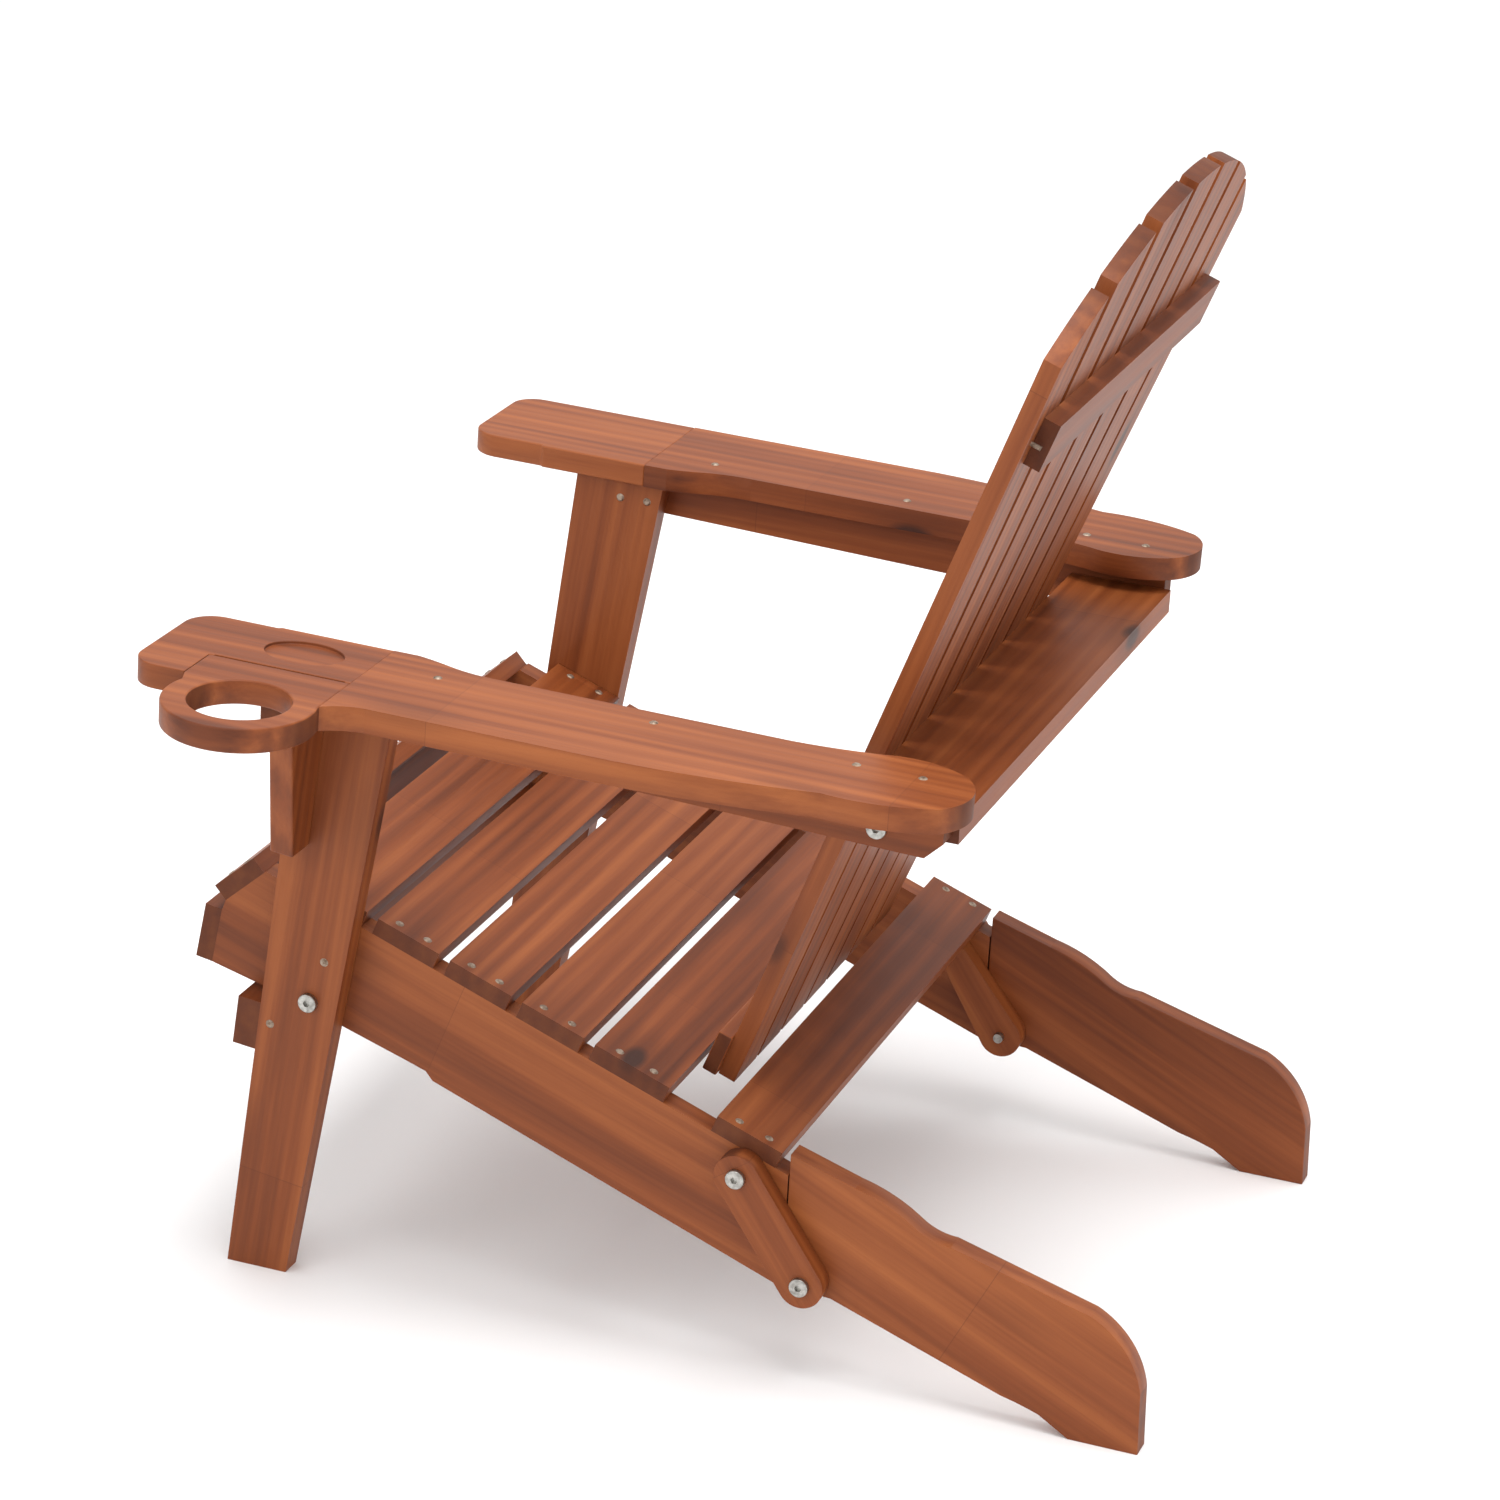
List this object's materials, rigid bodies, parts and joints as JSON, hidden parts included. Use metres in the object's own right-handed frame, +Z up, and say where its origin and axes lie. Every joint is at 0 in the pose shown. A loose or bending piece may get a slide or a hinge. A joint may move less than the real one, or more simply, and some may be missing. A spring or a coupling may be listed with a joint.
{
  "type": "folding adirondack chair",
  "caption": "Folding wooden garden armchair with a raked slatted seat, fanned slat back, broad flat arms and a cup ring on the left arm.",
  "frame": {"origin": "middle of the footprint box, on the floor", "axes": "+Z up, the chair faces -Y, +X is the left hand of somebody sitting in it"},
  "size_m": [0.821, 0.779, 0.907],
  "materials": {
    "stained_wood": "satin",
    "zinc_bolts": "satin",
    "dull_screws": "matte"
  },
  "bodies": {
    "seat": {"seat_rail_left": "stained_wood", "seat_rail_right": "stained_wood", "seat_slat_1": "stained_wood", "seat_slat_2": "stained_wood", "seat_slat_3": "stained_wood", "seat_slat_4": "stained_wood", "seat_slat_5": "stained_wood", "nosing_slat": "stained_wood", "front_apron": "stained_wood", "rear_crossbar": "stained_wood", "seat_screws": "dull_screws", "leg_pivot_bolts": "zinc_bolts", "link_upper_bolts": "zinc_bolts"},
    "front_frame": {"front_leg_left": "stained_wood", "front_leg_right": "stained_wood", "front_stretcher": "stained_wood", "arm_rail_left": "stained_wood", "arm_rail_right": "stained_wood", "arm_left_rear": "stained_wood", "arm_left_front": "stained_wood", "cup_ring_board": "stained_wood", "arm_right_rear": "stained_wood", "arm_right_front": "stained_wood", "arm_bracket_left": "stained_wood", "arm_bracket_right": "stained_wood", "arm_cleat_left": "stained_wood", "arm_cleat_right": "stained_wood", "leg_screws": "dull_screws", "stretcher_screws": "dull_screws", "arm_rail_bolts": "dull_screws", "arm_screws": "dull_screws"},
    "back": {"back_slat_1": "stained_wood", "back_slat_2": "stained_wood", "back_slat_3": "stained_wood", "back_slat_4": "stained_wood", "back_slat_5": "stained_wood", "back_slat_6": "stained_wood", "back_slat_7": "stained_wood", "upper_batten": "stained_wood", "mid_crossbar": "stained_wood", "lower_cleat": "stained_wood", "back_screws": "dull_screws", "arm_pivot_bolts": "zinc_bolts"},
    "link_left": {"link_plate_left_outer": "stained_wood", "link_plate_left_inner": "stained_wood", "link_lower_bolt_left": "zinc_bolts"},
    "rear_leg_left_body": {"rear_leg_left": "stained_wood"},
    "link_right": {"link_plate_right_outer": "stained_wood", "link_plate_right_inner": "stained_wood", "link_lower_bolt_right": "zinc_bolts"},
    "rear_leg_right_body": {"rear_leg_right": "stained_wood"}
  },
  "joints": [
    {"name": "front_frame_fold", "type": "hinge", "parent": "seat", "child": "front_frame", "pos_m": [-0.0435, -0.2814, 0.235], "axis": [1, 0, 0], "range_deg": [0, 75]},
    {"name": "back_fold", "type": "hinge", "parent": "front_frame", "child": "back", "pos_m": [-0.0435, 0.1676, 0.4735], "axis": [1, 0, 0], "range_deg": [0, 11.25]},
    {"name": "link_left_swing", "type": "hinge", "parent": "seat", "child": "link_left", "pos_m": [0.2015, 0.0692, 0.1633], "axis": [1, 0, 0], "range_deg": [0, 10.5]},
    {"name": "rear_leg_left_fold", "type": "hinge", "parent": "link_left", "child": "rear_leg_left_body", "pos_m": [0.2015, 0.1243, 0.0856], "axis": [1, 0, 0], "range_deg": [-105, 0]},
    {"name": "link_right_swing", "type": "hinge", "parent": "seat", "child": "link_right", "pos_m": [-0.2885, 0.0692, 0.1633], "axis": [1, 0, 0], "range_deg": [0, 10.5]},
    {"name": "rear_leg_right_fold", "type": "hinge", "parent": "link_right", "child": "rear_leg_right_body", "pos_m": [-0.2885, 0.1243, 0.0856], "axis": [1, 0, 0], "range_deg": [-105, 0]}
  ],
  "couplings": [
    {"joint": "back_fold", "follows": "front_frame_fold", "ratio": 0.15},
    {"joint": "link_left_swing", "follows": "rear_leg_left_fold", "ratio": -0.1},
    {"joint": "link_right_swing", "follows": "rear_leg_right_fold", "ratio": -0.1}
  ]
}
